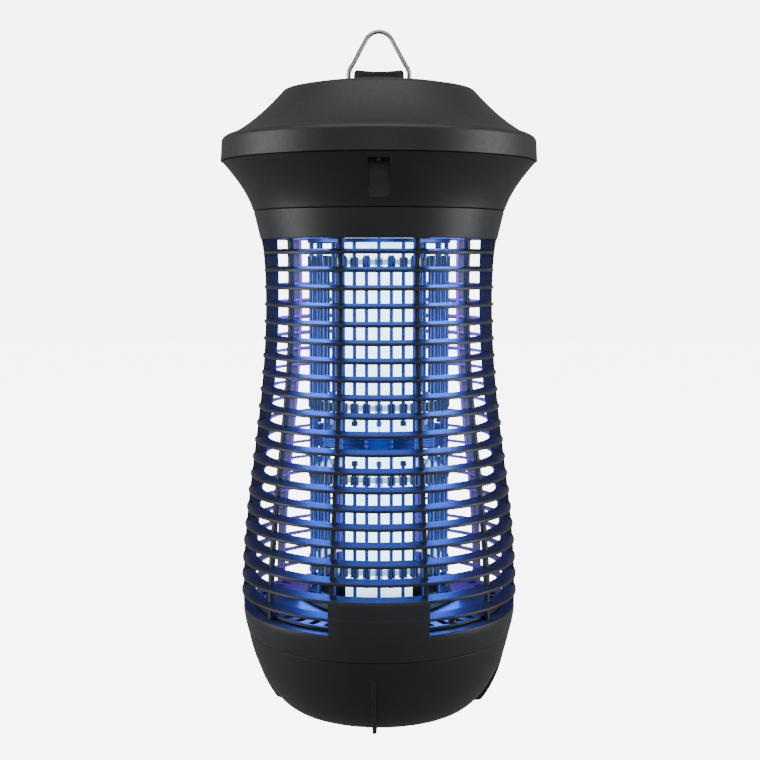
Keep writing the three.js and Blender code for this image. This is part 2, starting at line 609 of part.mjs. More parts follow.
function finOutline() {
  const { footInner, footOuter } = FIN;
  const heel = [footOuter + 5.6, 1.2];
  const top = TRAY.seam - 13.5;
  const toe = bend([footOuter, 0], [footOuter + 4, 0], heel, 2);
  const flank = bend(heel, [TRAY.rimRadius - 7, 19.9], [TRAY.rimRadius - 3.1, top], 5);
  return [[footInner - 6, TRAY.floor + 0.5], [footInner, 0], ...toe, ...flank.slice(1), [60, top]];
}

function buildTray() {
  const { seam, wall, spigotRadius, spigotTop, rimRadius } = TRAY;
  const outer = bowlOutline(0);
  const inner = bowlOutline(wall);
  const spigotInner = spigotRadius - 2.4;
  const rim = [[rimRadius, seam], [spigotRadius, seam], [spigotRadius, spigotTop], [spigotInner, spigotTop]];
  const bowl = [[0, inner[0][1]], ...inner.filter(([, z]) => z < seam - 6), [spigotInner, seam - 3]];
  const wallOutline = [[0, TRAY.floor], ...outer.slice(0, -1), ...rim, ...bowl.slice().reverse()];
  const shell = toSolid(turned(wallOutline, SHELL_SIDES));
  const cavity = toSolid(turned([...bowl, [spigotInner, seam + 1], [0, seam + 1]], SHELL_SIDES));
  const fins = evenly(FIN.count, FIN.turn).map((angle) =>
    toSolid(radialPlate(finOutline(), FIN.thickness, angle)).subtract(cavity));
  const lugZ = LUG.ledgeZ + LUG.ledgeHeight + 0.4;
  const lugs = evenly(LUG.count, FIN.turn).map((angle) =>
    ringSector(spigotRadius - 1, spigotRadius + 2.6, LUG.halfAngle, lugZ, lugZ + LUG.height, angle, 2));
  add('collecting_tray', join(shell, ...fins, ...lugs), blackPlastic());

  const sealOuter = BAND.bottomRadius - BAND.wall - 1.1;
  add('tray_seal', hoop(spigotRadius + 0.4, sealOuter, seam + GAP, LUG.ledgeZ - GAP), rubber());
}

// ---- Assembly -------------------------------------------------------------------------------

buildRoof();
buildBail();
buildHousing();
buildGland();
buildElectronics();
buildGuard();
buildGrate();
buildLampCup();
buildLamps();
buildLampBridge();
buildGrid();
buildTray();

export default zapper;
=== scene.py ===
import json
import math

import bmesh
import bpy
from mathutils import Matrix, Vector


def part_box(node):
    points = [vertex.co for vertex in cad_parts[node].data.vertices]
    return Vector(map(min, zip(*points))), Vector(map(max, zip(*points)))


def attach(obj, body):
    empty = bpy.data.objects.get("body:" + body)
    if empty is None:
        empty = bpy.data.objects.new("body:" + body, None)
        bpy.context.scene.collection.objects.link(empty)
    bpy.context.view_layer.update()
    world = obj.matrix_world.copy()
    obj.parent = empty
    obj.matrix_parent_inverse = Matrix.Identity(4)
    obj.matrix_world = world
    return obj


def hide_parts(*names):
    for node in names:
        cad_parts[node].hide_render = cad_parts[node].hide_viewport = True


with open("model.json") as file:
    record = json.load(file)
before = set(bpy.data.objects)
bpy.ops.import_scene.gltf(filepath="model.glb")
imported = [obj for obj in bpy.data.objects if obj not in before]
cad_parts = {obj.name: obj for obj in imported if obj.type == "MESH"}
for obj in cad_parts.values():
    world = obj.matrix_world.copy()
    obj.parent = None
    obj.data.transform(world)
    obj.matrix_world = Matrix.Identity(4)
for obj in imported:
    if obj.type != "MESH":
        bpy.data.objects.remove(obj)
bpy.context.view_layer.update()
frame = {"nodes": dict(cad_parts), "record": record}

# A hanging electric insect killer: roofed cage lantern, lit UV tubes in a two-tier wire grid, and a
# footed collecting tray. Shapes are worked out in millimetres in the CAD frame (+Z up, front at -Y)
# and turned into metres as each piece is finished.

MM = 0.001
TAU = 2 * math.pi
DEG = math.pi / 180
GAP = 0.3  # clearance between pieces that rest on each other


# ---- Dimensions taken from the CAD model ----------------------------------------------------


def corners(node):
    """The lowest and highest corner of a CAD node's box."""
    low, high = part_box(node)
    return low / MM, high / MM


def joint(name):
    """A joint's entry in the CAD record."""
    return next(entry for entry in frame["record"]["behaviour"]["joints"] if entry["name"] == name)


def joint_height(name):
    return joint(name)["pos_m"][2] / MM


roof_low, roof_high = corners("roof_cap")
ROOF_RIM, ROOF_RADIUS, ROOF_WALL = roof_low.z, roof_high.x, 3.0
SADDLE_TOP, SADDLE_HALF_WIDTH, SADDLE_HALF_DEPTH = roof_high.z, 19.3, 10.5
CROWN = SADDLE_TOP - 10.2
BROW_RADIUS, BROW_Z, SKIRT_TOP = ROOF_RADIUS - 48.4, CROWN - 4.7, ROOF_RIM + 14.8

PIVOT_Z, WIRE = joint_height("bail_swing"), 1.7
BAIL_TOP, LEG_X, CROWN_ARC = corners("hanging_bail")[1].z - WIRE, 23.2, 11.0

housing_low, housing_high = corners("upper_housing")
WELL_FLOOR, HOUSING_TOP, LIP = housing_low.z, housing_high.z, housing_high.x
HOUSING_WALL, WELL_RADIUS = 2.8, 79.6
CHANNEL_HALF, CHANNEL_BACK = 7.6, 99.0
CHANNEL_CEILING = HOUSING_TOP - 4.2
ROOF_SCREW_RADIUS = 108.5
gland_low, gland_high = corners("cord_gland")
GLAND_Z, GLAND_END = (gland_low.z + gland_high.z) / 2, gland_high.y
GLAND_FACE = GLAND_END - 10.5

cage_low, cage_high = corners("cage_front")
SEAT = cage_high.z + GAP
NECK = LIP - 23.3
COLLAR_BOTTOM, COLLAR_LOW_RADIUS, COLLAR_TOP_RADIUS, COLLAR_HOLE = SEAT - 21.7, 91.2, NECK - 0.3, 78.5
RING_COUNT, RING_TOP, RING_PITCH, RING_WIDTH, RING_THICKNESS = 21, SEAT - 32, 13.115, 10.5, 2.3
RING_SLOPE = 2.0  # how much higher a ring's inner edge is than its outer one
BAND_BOTTOM, BAND_LOW_RADIUS, BAND_RADIUS = cage_low.z, 103.2, 106.6
SHELF_Z, BAND_TOP = BAND_BOTTOM + 17.5, BAND_BOTTOM + 20
PANEL_RADIUS = 108.1
FRONT_BAY, MIDDLE_RIB = 19.8 * DEG, 54.4 * DEG
RIB_THICKNESS = 3.6
FRONT_RIB, SIDE_RIB, REAR_RIB = (6.7, 4.0, 0.0), (0.9, 9.8, 2.8), (4.3, 6.6, 0.0)  # inset, depth, rise
PARTING = 0.3

TRAY_SEAM = joint_height("tray_twist")
tray_high = corners("collecting_tray")[1]
TRAY_RIM, SPIGOT_TOP, TRAY_WALL = tray_high.x, tray_high.z, 2.6
SPIGOT_RADIUS, FIN_TURN = TRAY_RIM - 6.4, -2.3 * DEG

grate_low, grate_high = corners("drop_grate")
GRATE_BOTTOM, GRATE_TOP, GRATE_RADIUS, GRATE_HOLE = grate_low.z, grate_high.z, grate_high.x, 42.5
GRATE_SLOTS, SLOT_WIDTH, SLOT_NEAR, SLOT_FAR = 45, 6.0, GRATE_RADIUS - 12, GRATE_RADIUS - 2
SHELF_RADIUS, GRATE_SCREW_RADIUS, SCREW_HEAD = 95.2, 92.0, 2.6

GRID_WIRE, GRID_PAIRS, SPARK_GAP = 1.45, 18, 8.0
upper_low, upper_high = corners("grid_top_electrode")
lower_low, lower_high = corners("grid_bottom_electrode")
middle_low, middle_high = corners("grid_middle_electrode")
GRID_RADIUS = upper_high.x - 2.2

HANGING_CLEARANCE = 10  # left under the tray when it has dropped all the way
FLOOR_Z = -joint("tray_drop")["range_m"][1] / MM - HANGING_CLEARANCE
WORLD_LIGHT, WORLD_SEEN, FLOOR_GLOW = 0.3, 6.5, 8.0  # brightness of the surround and the floor


# ---- Outlines -------------------------------------------------------------------------------


def bearing(radius, angle, z=0.0):
    """The point at a radius and a bearing, measured from the front (-Y) towards +X."""
    return Vector((radius * math.sin(angle), -radius * math.cos(angle), z))


def evenly(count, start=0.0):
    return [start + TAU * i / count for i in range(count)]


def curve(controls, steps):
    """Points along a Bezier curve with two or more control points between its ends."""
    degree = len(controls) - 1
    points = []
    for i in range(steps + 1):
        t = i / steps
        weights = [math.comb(degree, k) * (1 - t) ** (degree - k) * t**k for k in range(degree + 1)]
        points.append(tuple(sum(w * p[axis] for w, p in zip(weights, controls)) for axis in range(2)))
    return points


def rounded(outline, radius, steps=4, closed=True, least_turn=12 * DEG):
    """The outline with each corner that turns by more than least_turn rounded off."""
    points = [Vector(p) for p in outline]
    points = [p for i, p in enumerate(points) if (p - points[i - 1]).length > 1e-4]
    made = []
    for i, here in enumerate(points):
        if not closed and i in (0, len(points) - 1):
            made.append(tuple(here))
            continue
        back, ahead = points[i - 1] - here, points[(i + 1) % len(points)] - here
        turn = math.pi - back.angle(ahead)
        if turn < least_turn:
            made.append(tuple(here))
            continue
        reach = min(radius * math.tan(turn / 2), 0.45 * back.length, 0.45 * ahead.length)
        start, end = here + back.normalized() * reach, here + ahead.normalized() * reach
        made += curve((start, here, end), steps)
    return made


def rectangle(x0, x1, y0, y1):
    return [(x0, y0), (x1, y0), (x1, y1), (x0, y1)]


def ring_sector(inner, outer, half_angle, angle, steps):
    """An arc-shaped outline in [x, y] between two radii, centred on a bearing."""
    turns = [angle - half_angle + 2 * half_angle * i / steps for i in range(steps + 1)]
    far = [bearing(outer, turn).to_2d() for turn in turns]
    near = [bearing(inner, turn).to_2d() for turn in reversed(turns)]
    return [tuple(p) for p in [*far, *near]]


# ---- Mesh building --------------------------------------------------------------------------


class Shape:
    """The mesh of one piece, gathered part by part in millimetres."""

    def __init__(self):
        self.bm = bmesh.new()

    def _grid(self, rows, wrap_rows):
        """Quads between closed rows of points; a row with one point closes to a pole."""
        made = [[self.bm.verts.new(p) for p in row] for row in rows]
        pairs = list(zip(made, made[1:]))
        if wrap_rows:
            pairs.append((made[-1], made[0]))
        for near, far in pairs:
            width = max(len(near), len(far))
            for i in range(width):
                j = (i + 1) % width
                ring = []
                for row, order in ((near, (i, j)), (far, (j, i))):
                    ring += [row[0]] if len(row) == 1 else [row[k] for k in order]
                self.bm.faces.new(ring)
        return made

    def lathe(self, outline, segments=144):
        """Turns a closed [radius, height] outline, or one that starts and ends on the axis."""
        on_axis = outline[0][0] == 0 and outline[-1][0] == 0
        rows = []
        for radius, z in outline:
            turns = [0.0] if radius == 0 else evenly(segments)
            rows.append([bearing(radius, turn, z) for turn in turns])
        self._grid(rows, not on_axis)
        return self

    def sweep(self, path, radii, sides=16):
        """A round rod along a path of points, with flat ends; radii is one or one per point."""
        points = [Vector(p) for p in path]
        if not isinstance(radii, (list, tuple)):
            radii = [radii] * len(points)
        rows = []
        normal = None
        for i, here in enumerate(points):
            along = (points[min(i + 1, len(points) - 1)] - points[max(i - 1, 0)]).normalized()
            normal = along.orthogonal() if normal is None else normal
            normal = (normal - along * normal.dot(along)).normalized()
            side = along.cross(normal)
            spokes = [normal * math.cos(a) + side * math.sin(a) for a in evenly(sides)]
            rows.append([here + spoke * radii[i] for spoke in spokes])
        made = self._grid(rows, False)
        self.bm.faces.new(made[0])
        self.bm.faces.new(made[-1])
        return self

    def plate(self, outline, thickness, place=Matrix.Identity(4), bevel=0.0, steps=2):
        """An [x, y] outline given a thickness about z = 0, its edges rounded, then placed."""
        part = bmesh.new()
        face = part.faces.new([part.verts.new((x, y, -thickness / 2)) for x, y in outline])
        lifted = bmesh.ops.extrude_face_region(part, geom=[face])["geom"]
        upper = [item for item in lifted if isinstance(item, bmesh.types.BMVert)]
        bmesh.ops.translate(part, vec=(0, 0, thickness), verts=upper)
        bmesh.ops.recalc_face_normals(part, faces=part.faces)
        if bevel:
            sharp = [edge for edge in part.edges if edge.calc_face_angle(0) > 40 * DEG]
            settings = {"segments": steps, "profile": 0.6, "affect": "EDGES", "clamp_overlap": True}
            bmesh.ops.bevel(part, geom=sharp, offset=bevel, **settings)
        return self.take(part, place)

    def block(self, low, high, place=Matrix.Identity(4), bevel=0.4, steps=2):
        (x0, y0, z0), (x1, y1, z1) = low, high
        middle = Matrix.Translation((0, 0, (z0 + z1) / 2))
        return self.plate(rectangle(x0, x1, y0, y1), z1 - z0, place @ middle, bevel, steps)

    def take(self, part, place=Matrix.Identity(4)):
        """Adds another mesh under construction, moved to its place, and frees it."""
        bmesh.ops.transform(part, matrix=place, verts=part.verts)
        mesh = bpy.data.meshes.new("part")
        part.to_mesh(mesh)
        part.free()
        self.bm.from_mesh(mesh)
        bpy.data.meshes.remove(mesh)
        return self

    def made(self, name):
        """The finished mesh as an object, in metres."""
        bmesh.ops.recalc_face_normals(self.bm, faces=self.bm.faces)
        bmesh.ops.scale(self.bm, vec=(MM, MM, MM), verts=self.bm.verts)
        mesh = bpy.data.meshes.new(name)
        self.bm.to_mesh(mesh)
        self.bm.free()
        obj = bpy.data.objects.new(name, mesh)
        bpy.context.scene.collection.objects.link(obj)
        return obj


def radial(angle):
    """Places a plate drawn in [radius, height] as a radial plate at a bearing."""
    return spun(angle) @ Matrix.Rotation(math.pi / 2, 4, "X")


def spun(angle):
    """Turns what is drawn along +X to a bearing."""
    return Matrix.Rotation(angle - math.pi / 2, 4, "Z")


def facing_out(angle, radius, z=0.0):
    """Places a plate drawn in [across, up] as a plate that faces outwards at a bearing."""
    upright = Matrix.Rotation(math.pi / 2, 4, "X")
    return Matrix.Rotation(angle, 4, "Z") @ Matrix.Translation((0, -radius, z)) @ upright


def carve(obj, operation, other):
    """Joins another closed mesh to obj, cuts it away or keeps what they share, and drops the other."""
    step = obj.modifiers.new("carve", "BOOLEAN")
    step.operation = operation
    step.solver = "MANIFOLD"
    step.object = other
    bpy.context.view_layer.update()
    result = bpy.data.meshes.new_from_object(obj.evaluated_get(bpy.context.evaluated_depsgraph_get()))
    obj.modifiers.clear()
    obj.data = result
    bpy.data.objects.remove(other)


def soften(obj, width, angle=35 * DEG, segments=2):
    """Rounds the sharp edges that a cut has left."""
    step = obj.modifiers.new("edges", "BEVEL")
    step.width = width * MM
    step.segments = segments
    step.limit_method = "ANGLE"
    step.angle_limit = angle
    step.use_clamp_overlap = True


def show(obj, material, body, slot, *nodes, sharp=38 * DEG):
    """Finishes a piece: smooth shading with crisp corners, its material, and what it stands for."""
    mesh = obj.data
    mesh.materials.clear()
    mesh.materials.append(material)
    mesh.polygons.foreach_set("use_smooth", [True] * len(mesh.polygons))
    mesh.set_sharp_from_angle(angle=sharp)
    weigh = obj.modifiers.new("normals", "WEIGHTED_NORMAL")
    weigh.keep_sharp = True
    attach(obj, body)
    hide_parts(*nodes)


# ---- Materials ------------------------------------------------------------------------------


def grey(level, tint=(1.0, 1.0, 1.0)):
    return tuple(level * t for t in tint)


class Nodes:
    """A node material under construction, in object coordinates (metres)."""

    def __init__(self, name, **values):
        self.material = bpy.data.materials.new(name)
        self.material.use_nodes = True
        self.tree = self.material.node_tree
        self.shader = self.tree.nodes["Principled BSDF"]
        self.place = self.tree.nodes.new("ShaderNodeTexCoord").outputs["Object"]
        for socket, value in values.items():
            self.shader.inputs[socket.replace("_", " ")].default_value = value

    def node(self, kind, source_socket, source, **values):
        """A node of a kind, fed from a source, with its other sockets set."""
        node = self.tree.nodes.new(kind)
        self.tree.links.new(source, node.inputs[source_socket])
        for socket, value in values.items():
            node.inputs[socket.replace("_", " ")].default_value = value
        return node

    def noise(self, scale, detail=3.0, vector=None):
        vector = vector or self.place
        return self.node("ShaderNodeTexNoise", "Vector", vector, Scale=scale, Detail=detail).outputs["Fac"]

    def stretched(self, scale):
        return self.node("ShaderNodeMapping", "Vector", self.place, Scale=scale).outputs["Vector"]

    def height(self, low, high):
        """0 at one height and 1 at another, in millimetres."""
        split = self.node("ShaderNodeSeparateXYZ", "Vector", self.place).outputs["Z"]
        ends = {"From_Min": low * MM, "From_Max": high * MM}
        return self.node("ShaderNodeMapRange", "Value", split, **ends).outputs["Result"]

    def ramp(self, source, stops):
        node = self.node("ShaderNodeValToRGB", "Fac", source)
        while len(node.color_ramp.elements) < len(stops):
            node.color_ramp.elements.new(0.5)
        for element, (position, colour) in zip(node.color_ramp.elements, stops):
            element.position = position
            element.color = (*colour, 1.0)
        return node.outputs["Color"]

    def radius(self, low, high):
        """0 at one distance from the central axis and 1 at another, in millimetres."""
        flat = self.stretched((1.0, 1.0, 0.0))
        length = self.tree.nodes.new("ShaderNodeVectorMath")
        length.operation = "LENGTH"
        self.tree.links.new(flat, length.inputs[0])
        ends = {"From_Min": low * MM, "From_Max": high * MM}
        return self.node("ShaderNodeMapRange", "Value", length.outputs["Value"], **ends).outputs["Result"]

    def spread(self, source, low, high):
        """Stretches the middle of a noise pattern over a range of values."""
        ends = {"From_Min": 0.3, "From_Max": 0.7, "To_Min": low, "To_Max": high}
        return self.node("ShaderNodeMapRange", "Value", source, **ends).outputs["Result"]

    def feed(self, source, socket):
        self.tree.links.new(source, self.shader.inputs[socket])

    def bump(self, source, depth):
        """Depth in millimetres."""
        node = self.node("ShaderNodeBump", "Height", source, Distance=depth * MM, Strength=1.0)
        self.feed(node.outputs["Normal"], "Normal")


def moulded_plastic(name, level, roughness, grain=0.02, tint=(1.0, 1.0, 1.0), specular=0.5):
    """Satin injection moulding: fine spark-eroded grain and faint cloudiness."""
    nodes = Nodes(name, Specular_IOR_Level=specular)
    shades = [(0.3, grey(level * 0.88, tint)), (0.7, grey(level * 1.12, tint))]
    nodes.feed(nodes.ramp(nodes.noise(28.0, 2.0), shades), "Base Color")
    nodes.feed(nodes.spread(nodes.noise(420.0), roughness - 0.05, roughness + 0.06), "Roughness")
    nodes.bump(nodes.noise(2600.0, 2.0), grain)
    return nodes.material


def drawn_metal(name, colour, roughness, along=(1.0, 1.0, 0.05)):
    """Drawn or rolled metal, with fine marks along its length."""
    nodes = Nodes(name, Metallic=1.0)
    marks = nodes.noise(1800.0, 4.0, nodes.stretched(along))
    nodes.feed(nodes.ramp(marks, [(0.3, grey(0.8, colour)), (0.7, colour)]), "Base Color")
    nodes.feed(nodes.spread(marks, roughness - 0.07, roughness + 0.1), "Roughness")
    nodes.bump(marks, 0.01)
    return nodes.material


def lit_tube(name, colour, strength):
    """Phosphor-coated glass, lit, and a little dimmer towards its ends."""
    low, high = corners("uv_tube_left")
    nodes = Nodes(name, Roughness=0.15, Emission_Strength=strength, Base_Color=(*grey(0.8), 1.0))
    end, dim = grey(0.1, colour), grey(0.5, colour)
    stops = [(0.0, end), (0.04, dim), (0.1, colour), (0.9, colour), (0.96, dim), (1.0, end)]
    nodes.feed(nodes.ramp(nodes.height(low.z, high.z), stops), "Emission Color")
    return nodes.material


def ring_with_painted_glow(name, glow, strength):
    """Milky plastic with the tubes' light painted on as an emission glow; the painted glow fades out, and
    the base colour darkens, at its outer teeth.
    """
    nodes = Nodes(name, Emission_Strength=strength)
    outwards = nodes.radius(51.0, 51.6)
    nodes.feed(nodes.ramp(outwards, [(0.0, glow), (1.0, grey(0.02, glow))]), "Emission Color")
    nodes.feed(nodes.ramp(outwards, [(0.0, glow), (1.0, grey(0.15, glow))]), "Base Color")
    nodes.feed(nodes.spread(nodes.noise(500.0), 0.35, 0.5), "Roughness")
    return nodes.material


def mottled(name, dark, light, roughness, scale=300.0, depth=0.01):
    """A plain two-tone surface for the small inner pieces."""
    nodes = Nodes(name)
    patches = nodes.noise(scale)
    nodes.feed(nodes.ramp(patches, [(0.3, dark), (0.7, light)]), "Base Color")
    nodes.feed(nodes.spread(nodes.noise(scale * 2), roughness - 0.06, roughness + 0.06), "Roughness")
    nodes.bump(patches, depth)
    return nodes.material


PLASTIC = moulded_plastic("black_moulding", 0.014, 0.46, specular=0.35)
# The cage's plastic is the black plastic made lighter and bluer: painted light standing in for the tubes'
# blue glow on it.
CAGE_PLASTIC_PAINTED_BLUE = moulded_plastic("cage_moulding_painted_blue", 0.02, 0.42, tint=(0.88, 0.96, 1.12), specular=0.34)
INSULATOR = moulded_plastic("insulator_moulding", 0.12, 0.35, 0.01, (0.75, 0.85, 1.0))
BAIL_STEEL = drawn_metal("bail_wire", (0.42, 0.42, 0.43), 0.28)
# The spacer rings glow with painted light: emission standing in for the tubes' blue light on them.
SPACER_PAINTED_GLOW = ring_with_painted_glow("spacer_painted_glow", (0.5, 0.75, 1.0), 1.3)
# The grid wires' blue colour is painted light: the tubes' blue glow painted onto plain steel.
GRID_STEEL_PAINTED_BLUE = drawn_metal("grid_wire_painted_blue", (0.1, 0.16, 0.42), 0.4)
ZINC = drawn_metal("zinc_plate", (0.58, 0.6, 0.62), 0.35, (1.0, 1.0, 1.0))
DARK_ZINC = drawn_metal("blackened_screw", (0.06, 0.06, 0.065), 0.4, (1.0, 1.0, 1.0))
CAP_METAL = drawn_metal("tube_cap_aluminium", (0.75, 0.76, 0.78), 0.3)
TUBE_LIGHT = lit_tube("uv_tube_glass", (0.58, 0.88, 1.0), 4.6)
RUBBER = mottled("seal_rubber", grey(0.012), grey(0.02), 0.8, 900.0)
BOARD = mottled("solder_resist", (0.02, 0.09, 0.04), (0.03, 0.13, 0.05), 0.4)
TAPE = mottled("coil_tape", (0.42, 0.27, 0.03), (0.55, 0.37, 0.06), 0.35, 500.0)
CASE = mottled("capacitor_case", (0.2, 0.03, 0.02), (0.28, 0.05, 0.03), 0.3)


# ---- Roof and bail --------------------------------------------------------------------------


def roof_outline(inset):
    """From the rim up the skirt, over a tight shoulder, along the hollow slope and over the brow."""
    rim = ROOF_RADIUS - inset
    wall_top = (rim - 0.8, SKIRT_TOP - inset * 0.4)
    shoulder = (ROOF_RADIUS - 9.4 - inset * 0.3, SKIRT_TOP + 5.8 - inset)
    hollow = (93.3 - inset * 0.6, CROWN - 28 - inset)
    brow = (BROW_RADIUS - inset * 0.7, BROW_Z - inset * 0.9)
    flat = (BROW_RADIUS * 0.8, CROWN - 1.9 - inset)
    turn = curve((wall_top, (wall_top[0] - 0.4, shoulder[1] - 2), shoulder), 8)
    slope = curve((shoulder, hollow, brow), 16)[1:]
    profile = [(rim, ROOF_RIM), *turn, *slope, flat, (0, CROWN - inset)]
    return rounded(profile, 9, 5, closed=False)


def saddle_outline():
    half, top = SADDLE_HALF_WIDTH, SADDLE_TOP
    right = curve(((half - 0.4, top - 3.4), (half - 0.5, top), (half - 3.2, top)), 5)
    dip = curve(((half - 3.2, top), (0, top - 2.2), (3.2 - half, top)), 12)
    left = [(-x, z) for x, z in reversed(right)]
    base = CROWN - 2.3
    return [(-half, base), (half, base), *right, *dip[1:-1], *left]


def build_roof():
    roof = Shape().lathe([*reversed(roof_outline(ROOF_WALL)), *roof_outline(0)], 160).made("roof_shell")
    saddle = Shape().plate(saddle_outline(), 2 * SADDLE_HALF_DEPTH, facing_out(0, 0), 1.1, 4)
    carve(roof, "UNION", saddle.made("saddle"))
    recess = rounded(rectangle(-14, 14, CROWN - 4, SADDLE_TOP - 3.2), 2.5)
    for angle in (0, math.pi):
        front = facing_out(angle, SADDLE_HALF_DEPTH)
        carve(roof, "DIFFERENCE", Shape().plate(recess, 1.0, front, 0.4).made("recess"))
    for side in (-1, 1):
        socket = [(side * x, 0, PIVOT_Z) for x in (SADDLE_HALF_WIDTH - 7.2, SADDLE_HALF_WIDTH + 2)]
        carve(roof, "DIFFERENCE", Shape().sweep(socket, WIRE + 0.4, 24).made("socket"))
    for angle in evenly(3):
        foot = bearing(ROOF_SCREW_RADIUS, angle, ROOF_RIM + GAP)
        carve(roof, "UNION", Shape().sweep([foot, foot + Vector((0, 0, 17))], 4.2, 24).made("screw_post"))
    soften(roof, 0.35)
    show(roof, PLASTIC, "lantern", "black_plastic", "roof_cap")


def bail_path():
    """Half the loop from its pin: elbow, leg, knee, then the crown's arc; mirrored for the rest."""
    centre_z = BAIL_TOP - CROWN_ARC
    knee = Vector((LEG_X - 1.6, PIVOT_Z + 10))
    reach = math.hypot(knee.x, knee.y - centre_z)
    lean = math.atan2(knee.y - centre_z, knee.x) + math.acos(CROWN_ARC / reach)
    sweep = [lean + (math.pi / 2 - lean) * i / 12 for i in range(13)]
    arc = [(CROWN_ARC * math.cos(a), centre_z + CROWN_ARC * math.sin(a)) for a in sweep]
    pin = (SADDLE_HALF_WIDTH - 6.2, PIVOT_Z)
    elbow = curve(((LEG_X - 3.2, PIVOT_Z), (LEG_X, PIVOT_Z), (LEG_X, PIVOT_Z + 3.2)), 6)
    leg = curve(((LEG_X, PIVOT_Z + 5.5), (LEG_X, PIVOT_Z + 9), (knee.x - 1.4, knee.y + 2.6)), 6)
    half = [pin, *elbow, *leg, *arc]
    return [(x, 0, z) for x, z in half] + [(-x, 0, z) for x, z in reversed(half[:-1])]


def build_bail():
    bail = Shape().sweep(bail_path(), WIRE, 20).made("bail_wire_loop")
    show(bail, BAIL_STEEL, "bail", "bail_steel", "hanging_bail")


# ---- Upper housing --------------------------------------------------------------------------


def flare(inset):
    start = (NECK - inset, SEAT + (HOUSING_WALL if inset else 0))
    corner = (NECK + 4.5 - inset, SEAT + 15.7 + inset * 0.4)
    return curve((start, corner, (LIP - inset * 1.3, HOUSING_TOP)), 20)


def housing_shell():
    """The well's floor and side, the flare, and the inside of both."""
    well_wall, floor_top = WELL_RADIUS - HOUSING_WALL, WELL_FLOOR + HOUSING_WALL
    outer = [(0, WELL_FLOOR), (WELL_RADIUS, WELL_FLOOR), (WELL_RADIUS, SEAT), *flare(0)]
    well = [(well_wall, SEAT + HOUSING_WALL), (well_wall, floor_top), (0, floor_top)]
    whole = [*outer, *reversed(flare(HOUSING_WALL)), *well]
    return rounded(whole, 0.7, 3, closed=False, least_turn=30 * DEG)


def channel_liners():
    """Boxes around the screw channels, trimmed to the inside of the flare."""
    side = CHANNEL_HALF + 2.6
    blocks = Shape()
    middle = Matrix.Translation((0, 0, (HOUSING_TOP + SEAT) / 2))
    for angle in evenly(3):
        wall = rectangle(NECK - 2, ROOF_RADIUS, -side, side)
        blocks.plate(wall, HOUSING_TOP - SEAT - 2, spun(angle) @ middle)
    liners = blocks.made("liners")
    space = [(0, WELL_FLOOR + 1), (WELL_RADIUS - 1, WELL_FLOOR + 1), *flare(0.2), (0, HOUSING_TOP)]
    carve(liners, "INTERSECT", Shape().lathe(space, 160).made("space"))
    return liners


def channel_outline():
    """A slot across the flare: square at the ceiling, rounded at its foot."""
    half, foot, corner = CHANNEL_HALF, SEAT + 5.5, 5.5
    left = curve(((-half, foot + corner), (-half, foot), (-half + corner, foot)), 6)
    right = [(-x, z) for x, z in reversed(left)]
    return [*left, *right, (half, CHANNEL_CEILING), (-half, CHANNEL_CEILING)]


def build_housing():
    housing = Shape().lathe(housing_shell(), 160).made("flared_housing")
    carve(housing, "UNION", channel_liners())
    slots = Shape()
    for angle in evenly(3):
        slots.plate(channel_outline(), 40, facing_out(angle, CHANNEL_BACK + 20))
        foot = bearing(ROOF_SCREW_RADIUS, angle, CHANNEL_CEILING - 2)
        slots.sweep([foot, foot + Vector((0, 0, 8))], 1.9, 20)
    carve(housing, "DIFFERENCE", slots.made("slots"))
    pad = Shape().sweep([(0, 92, GLAND_Z), (0, GLAND_FACE, GLAND_Z)], 11.0, 48)
    carve(housing, "UNION", pad.made("gland_pad"))
    holes = Shape().sweep([(0, 88, GLAND_Z), (0, GLAND_FACE + 2, GLAND_Z)], 6.3, 32)
    for name in ("uv_tube_left", "uv_tube_right"):
        low, high = corners(name)
        x = (low.x + high.x) / 2
        ends = [(x, 0, WELL_FLOOR - 2), (x, 0, WELL_FLOOR + 4)]
        holes.sweep(ends, high.x - x + 0.9, 48)
    carve(housing, "DIFFERENCE", holes.made("holes"))
    soften(housing, 0.6, 50 * DEG, 3)
    show(housing, PLASTIC, "lantern", "black_plastic", "upper_housing")


def build_gland():
    """Hexagonal flange, ribbed cap and hollow stem of the cord's entry at the back."""
    back = facing_out(math.pi, 0, GLAND_Z)
    flange_start, cap_start = GLAND_FACE + GAP, GLAND_FACE + 3.5
    hexagon = [(9 * math.cos(a), 9 * math.sin(a)) for a in evenly(6, TAU / 12)]
    middle = Matrix.Translation((0, 0, flange_start + 1.85))
    gland = Shape().plate(hexagon, 3.7, back @ middle, 0.5, 3)
    dome = curve(((7.6, 4.0), (7.4, 6.8), (5.2, GLAND_END - cap_start)), 6)
    cap = Shape().lathe(rounded([(3.6, 0), (7.6, 0), *dome, (3.6, GLAND_END - cap_start)], 0.4, 2), 48)
    gland.take(cap.bm, back @ Matrix.Translation((0, 0, cap_start)))
    for angle in evenly(24):
        rib = [(7.4, -0.4), (8.0, -0.3), (8.0, 0.3), (7.4, 0.4)]
        turn = Matrix.Translation((0, 0, cap_start + 2.2)) @ Matrix.Rotation(angle, 4, "Z")
        gland.plate(rib, 3.6, back @ turn, 0.1, 1)
    stem = Shape().lathe([(3.6, 86), (5.9, 86), (5.9, cap_start), (3.6, cap_start)], 40)
    gland.take(stem.bm, back)
    show(gland.made("gland_body"), PLASTIC, "lantern", "black_plastic", "cord_gland")


# ---- Screws ---------------------------------------------------------------------------------


